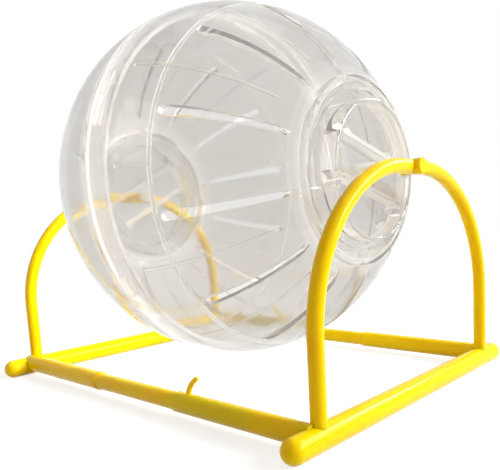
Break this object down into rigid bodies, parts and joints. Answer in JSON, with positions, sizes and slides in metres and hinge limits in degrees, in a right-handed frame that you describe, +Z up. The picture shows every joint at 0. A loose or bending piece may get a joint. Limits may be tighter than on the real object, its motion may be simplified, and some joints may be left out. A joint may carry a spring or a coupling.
{
  "type": "hamster exercise ball on stand",
  "caption": "Clear vented exercise ball for a hamster, with twist-lock side lids, turning on pins between the arches of a yellow tube stand.",
  "frame": {"origin": "centre of the base on the floor, under the middle of the ball", "axes": "+X along the ball's turning axis, towards the right arch; -Y is the front; +Z up"},
  "size_m": [0.149, 0.12, 0.128],
  "materials": {
    "clear_shell": "clear polished",
    "clear_lid": "clear polished",
    "yellow_plastic": "glossy"
  },
  "bodies": {
    "stand_left": {"base_bar_left": "yellow_plastic", "arch_left": "yellow_plastic", "sleeve_rail_left": "yellow_plastic", "plug_rail_left": "yellow_plastic"},
    "stand_right": {"base_bar_right": "yellow_plastic", "arch_right": "yellow_plastic", "sleeve_rail_right": "yellow_plastic", "plug_rail_right": "yellow_plastic"},
    "ball_left": {"ball_half_left": "clear_shell"},
    "ball_right": {"ball_half_right": "clear_shell"},
    "lid_left": {"lid_left": "clear_lid"},
    "lid_right": {"lid_right": "clear_lid"}
  },
  "joints": [
    {"name": "stand_slide", "type": "slide", "parent": "stand_left", "child": "stand_right", "axis": [1, 0, 0], "range_m": [0, 0.024]},
    {"name": "ball_spin", "type": "hinge", "parent": "stand_left", "child": "ball_left", "pos_m": [0, 0, 0.068], "axis": [1, 0, 0], "continuous": true},
    {"name": "seam_twist", "type": "hinge", "parent": "ball_left", "child": "ball_right", "pos_m": [0.0005, 0, 0.068], "axis": [1, 0, 0], "range_deg": [0, 10]},
    {"name": "lid_left_twist", "type": "hinge", "parent": "ball_left", "child": "lid_left", "pos_m": [-0.0536, 0, 0.068], "axis": [1, 0, 0], "range_deg": [-31, 11]},
    {"name": "lid_right_twist", "type": "hinge", "parent": "ball_right", "child": "lid_right", "pos_m": [0.0536, 0, 0.068], "axis": [1, 0, 0], "range_deg": [0, 42]}
  ]
}
